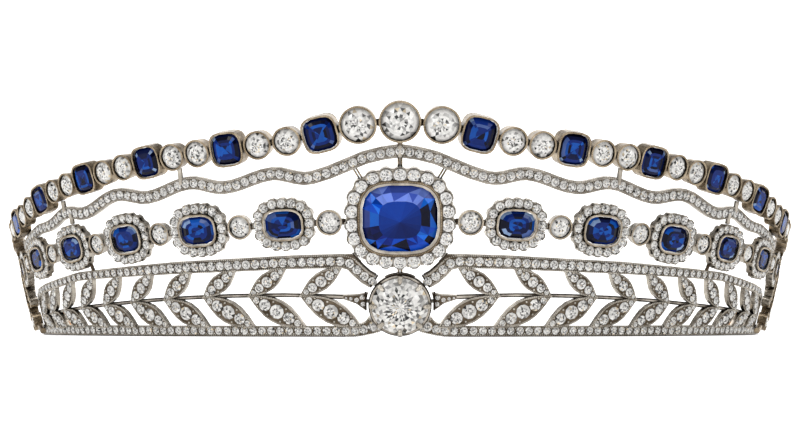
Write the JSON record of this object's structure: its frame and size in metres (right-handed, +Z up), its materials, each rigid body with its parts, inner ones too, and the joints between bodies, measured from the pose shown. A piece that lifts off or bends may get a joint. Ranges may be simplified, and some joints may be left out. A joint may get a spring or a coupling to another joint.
{
  "type": "diadem",
  "caption": "Flared openwork diadem: plain base strip, leaf frieze, row of sapphire and diamond clusters, waved ribbon and an arched crest of collets, with a gold loop at each end.",
  "frame": {"origin": "centre of the outline on the surface that the diadem stands on, at the level of the base strip's lower edge", "axes": "+X to the right of a viewer who faces the front, -Y out of the front, +Z up"},
  "size_m": [0.1788, 0.0996, 0.0491],
  "materials": {
    "silver": "polished silver, darkened in the recesses",
    "gold": "polished gold",
    "diamond": "clear, faceted",
    "sapphire": "royal blue, faceted"
  },
  "bodies": {
    "root": {"base_frame": "silver", "wave_ribbon": "silver", "cluster_row": "silver", "crest_row": "silver", "end_loop_left": "gold", "end_loop_right": "gold", "front_diamond": "diamond", "centre_halo": "diamond", "halo_left": "diamond", "halo_right": "diamond", "spacers_left": "diamond", "spacers_right": "diamond", "crest_top": "diamond", "crest_second_left": "diamond", "crest_second_right": "diamond", "crest_diamonds_left": "diamond", "crest_diamonds_right": "diamond", "centre_sapphire": "sapphire", "cluster_sapphire_left_1": "sapphire", "cluster_sapphire_left_2": "sapphire", "cluster_sapphire_left_3": "sapphire", "cluster_sapphire_left_4": "sapphire", "cluster_sapphire_left_5": "sapphire", "cluster_sapphire_left_6": "sapphire", "cluster_sapphire_right_1": "sapphire", "cluster_sapphire_right_2": "sapphire", "cluster_sapphire_right_3": "sapphire", "cluster_sapphire_right_4": "sapphire", "cluster_sapphire_right_5": "sapphire", "cluster_sapphire_right_6": "sapphire", "crest_sapphire_left_1": "sapphire", "crest_sapphire_left_2": "sapphire", "crest_sapphire_left_3": "sapphire", "crest_sapphire_left_4": "sapphire", "crest_sapphire_left_5": "sapphire", "crest_sapphire_left_6": "sapphire", "crest_sapphire_left_7": "sapphire", "crest_sapphire_left_8": "sapphire", "crest_sapphire_right_1": "sapphire", "crest_sapphire_right_2": "sapphire", "crest_sapphire_right_3": "sapphire", "crest_sapphire_right_4": "sapphire", "crest_sapphire_right_5": "sapphire", "crest_sapphire_right_6": "sapphire", "crest_sapphire_right_7": "sapphire", "crest_sapphire_right_8": "sapphire"}
  },
  "joints": []
}
